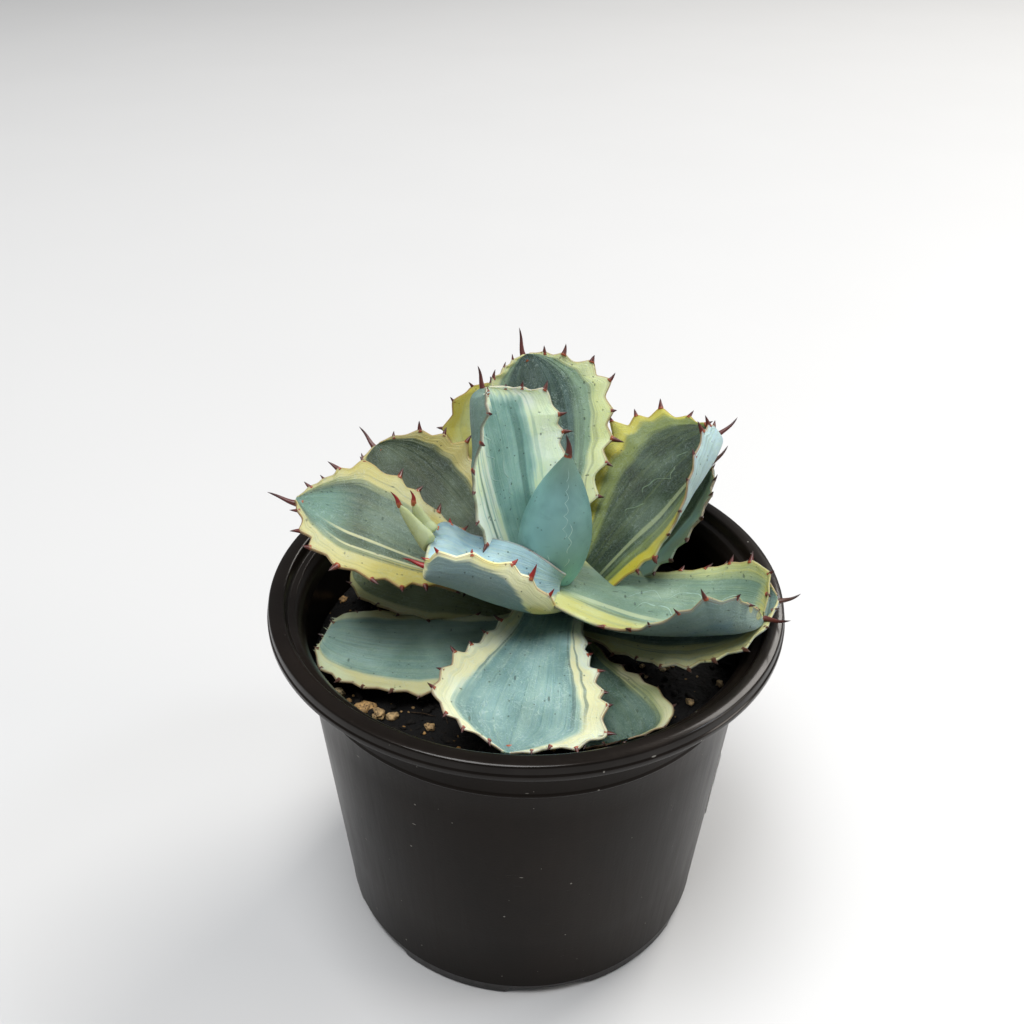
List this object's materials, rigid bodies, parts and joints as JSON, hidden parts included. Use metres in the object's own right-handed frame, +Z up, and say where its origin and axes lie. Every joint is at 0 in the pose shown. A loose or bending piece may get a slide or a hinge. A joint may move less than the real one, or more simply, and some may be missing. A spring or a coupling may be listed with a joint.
{
  "type": "potted agave plant",
  "caption": "Small agave with broad cupped, toothed, cream-edged leaves round a closed bud, in a round black plastic nursery pot with soil.",
  "frame": {"origin": "middle of the bottom of the object's box, on the table under the pot's foot", "axes": "+Z up along the pot's axis; +Y away from the viewer of the picture; +X to that viewer's right"},
  "size_m": [0.1628, 0.161, 0.1859],
  "materials": {
    "pot_plastic": "satin black moulded plastic, a little glossy on the rim",
    "label_paper": "plain white coated paper sticker",
    "soil": "dark crumbly potting soil with tan grit",
    "stem": "pale green-brown stem tissue",
    "bud": "smooth blue-green leaf skin with a wax bloom",
    "leaf": "waxy blue-green leaf skin with cream to yellow edges and red-brown teeth"
  },
  "bodies": {
    "root": {"pot": "pot_plastic", "label": "label_paper", "soil": "soil", "crown": "stem", "bud": "bud", "leaf_inner_upright": "leaf", "leaf_front_cupped": "leaf", "leaf_back_centre": "leaf", "leaf_right_front": "leaf", "leaf_left_large": "leaf", "leaf_right_rear": "leaf", "leaf_front_centre": "leaf", "leaf_left_rear": "leaf", "leaf_right_low": "leaf", "leaf_left_low": "leaf", "leaf_back_low_right": "leaf", "leaf_back_left": "leaf", "leaf_front_right_low": "leaf", "leaf_left_under": "leaf", "leaf_right_under": "leaf", "leaf_back_low_left": "leaf"}
  },
  "joints": []
}
